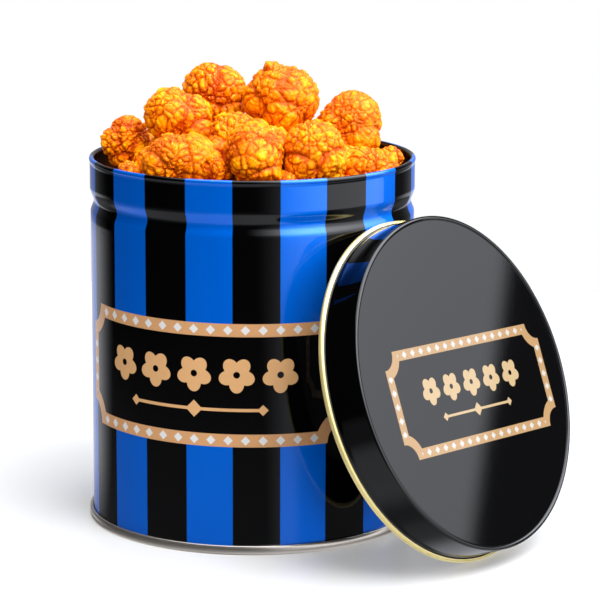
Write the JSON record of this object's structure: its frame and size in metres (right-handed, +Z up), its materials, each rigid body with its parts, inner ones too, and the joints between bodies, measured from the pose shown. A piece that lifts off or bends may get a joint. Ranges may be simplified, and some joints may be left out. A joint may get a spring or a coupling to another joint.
{
  "type": "tin of popcorn",
  "caption": "Round striped slip-lid tin heaped above its rim with large coated popcorn, its own lid leaning on its side.",
  "frame": {"origin": "middle of the footprint of the tin and its leaning lid, on the floor", "axes": "+Z up along the tin's axis, -Y the front, +X to the right of the front; the lid leans on the tin's right front side"},
  "size_m": [0.2504, 0.2392, 0.2394],
  "materials": {
    "tin_body": "gloss lacquer, blue and black stripes",
    "tin_bottom": "bare tinplate, satin",
    "popcorn_heap": "orange cheese and caramel coating, slightly glossy",
    "lid": "gloss black lacquer with a gold edge"
  },
  "bodies": {
    "root": {"tin_body": "tin_body", "tin_bottom": "tin_bottom", "popcorn_heap": "popcorn_heap", "lid": "lid"}
  },
  "joints": []
}
